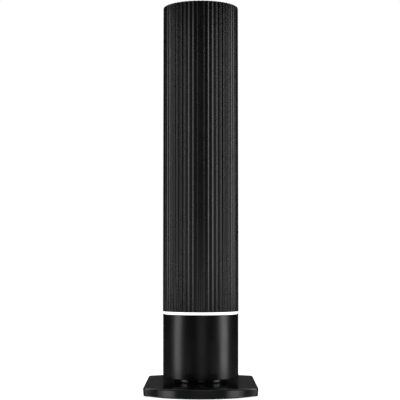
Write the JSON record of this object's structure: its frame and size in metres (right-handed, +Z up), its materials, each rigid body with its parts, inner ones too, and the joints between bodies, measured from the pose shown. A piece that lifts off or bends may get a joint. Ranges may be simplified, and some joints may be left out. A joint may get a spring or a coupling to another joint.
{
  "type": "air purifier",
  "caption": "Tower air purifier: a fluted round cover over a lit ring and a smooth housing that swivels on a flat base, with a rear filter door and an outlet grille on top.",
  "frame": {"origin": "on the floor, at the middle of the base's footprint", "axes": "+Z up along the tower, front towards -Y, filter door towards +Y"},
  "size_m": [0.228, 0.344, 0.805],
  "materials": {
    "gloss_black": "glossy",
    "satin_black": "satin",
    "flute_black": "satin",
    "inner_plastic": "matte",
    "cast_weight": "rough",
    "foot_rubber": "matte",
    "screw_steel": "satin",
    "slide_plastic": "satin",
    "gear_plastic": "satin",
    "motor_metal": "satin",
    "shaft_steel": "polished",
    "inlet_plastic": "matte",
    "pin_brass": "polished",
    "board_green": "satin",
    "board_parts": "matte",
    "light_guide": "translucent",
    "led_strip": "satin",
    "magnet": "polished",
    "cable_jacket": "matte",
    "impeller_grey": "satin",
    "guard_wire": "satin",
    "panel_gloss": "glossy",
    "key_black": "satin",
    "switch_white": "satin",
    "screen_frame": "matte",
    "screen_mesh": "woven",
    "filter_paper": "matte",
    "filter_frame": "matte",
    "carbon": "rough",
    "gasket_foam": "matte"
  },
  "bodies": {
    "base": {"base_cover": "gloss_black", "base_weight": "cast_weight", "base_bottom": "inner_plastic", "foot_ring": "foot_rubber", "base_screws": "screw_steel", "pivot_hub": "gloss_black", "hub_screws": "screw_steel", "thrust_washer": "slide_plastic", "swivel_gear": "gear_plastic", "hub_nut": "screw_steel"},
    "tower": {"lower_housing": "satin_black", "housing_floor": "inner_plastic", "floor_screws": "screw_steel", "swivel_bush": "slide_plastic", "motor_bracket": "motor_metal", "swivel_motor": "motor_metal", "ac_inlet": "inlet_plastic", "inlet_pins": "pin_brass", "main_board": "board_green", "board_parts": "board_parts", "board_standoffs": "pin_brass", "dust_sensor": "inner_plastic", "deck_plate": "inner_plastic", "light_ring": "light_guide", "led_strip": "led_strip", "cover_shell": "flute_black", "filter_seat": "inner_plastic", "left_rail": "inner_plastic", "right_rail": "inner_plastic", "frame_magnets": "magnet", "fan_plate": "inner_plastic", "fan_cable": "cable_jacket", "air_duct": "inner_plastic", "motor_pod": "inner_plastic", "fan_motor": "motor_metal", "fan_guard": "guard_wire", "top_grille": "satin_black", "control_panel": "panel_gloss", "control_board": "board_green", "key_switches": "switch_white"},
    "pinion": {"swivel_pinion": "gear_plastic"},
    "rotor": {"motor_shaft": "shaft_steel", "impeller": "impeller_grey"},
    "power_button": {"power_key": "key_black"},
    "speed_button": {"speed_key": "key_black"},
    "timer_button": {"timer_key": "key_black"},
    "light_button": {"light_key": "key_black"},
    "door": {"rear_door": "flute_black", "door_magnets": "magnet", "prefilter_frame": "screen_frame", "prefilter_mesh": "screen_mesh"},
    "filter": {"filter_media": "filter_paper", "filter_cage": "filter_frame", "carbon_core": "carbon", "filter_cap_top": "filter_frame", "filter_cap_bottom": "filter_frame", "filter_gasket": "gasket_foam"}
  },
  "joints": [
    {"name": "swivel", "type": "hinge", "parent": "base", "child": "tower", "pos_m": [0, 0, 0.0285], "axis": [0, 0, 1], "range_deg": [-45, 45]},
    {"name": "pinion_spin", "type": "hinge", "parent": "tower", "child": "pinion", "pos_m": [0, -0.0432, 0.041], "axis": [0, 0, 1], "range_deg": [-135, 135]},
    {"name": "fan_spin", "type": "hinge", "parent": "tower", "child": "rotor", "pos_m": [0, 0, 0.65], "axis": [0, 0, 1], "continuous": true},
    {"name": "power_press", "type": "slide", "parent": "tower", "child": "power_button", "axis": [0, 0, -1], "range_m": [0, 0.0012], "stiffness_N_per_m": 1500, "springref_m": -0.0003},
    {"name": "speed_press", "type": "slide", "parent": "tower", "child": "speed_button", "axis": [0, 0, -1], "range_m": [0, 0.0012], "stiffness_N_per_m": 1500, "springref_m": -0.0003},
    {"name": "timer_press", "type": "slide", "parent": "tower", "child": "timer_button", "axis": [0, 0, -1], "range_m": [0, 0.0012], "stiffness_N_per_m": 1500, "springref_m": -0.0003},
    {"name": "light_press", "type": "slide", "parent": "tower", "child": "light_button", "axis": [0, 0, -1], "range_m": [0, 0.0012], "stiffness_N_per_m": 1500, "springref_m": -0.0003},
    {"name": "door_pull", "type": "slide", "parent": "tower", "child": "door", "axis": [0, 1, 0], "range_m": [0, 0.48]},
    {"name": "filter_pull", "type": "slide", "parent": "tower", "child": "filter", "axis": [0, 1, 0], "range_m": [0, 0.24]}
  ],
  "couplings": [
    {"joint": "pinion_spin", "follows": "swivel", "ratio": 3},
    {"joint": "filter_pull", "follows": "door_pull", "ratio": 0.5}
  ]
}
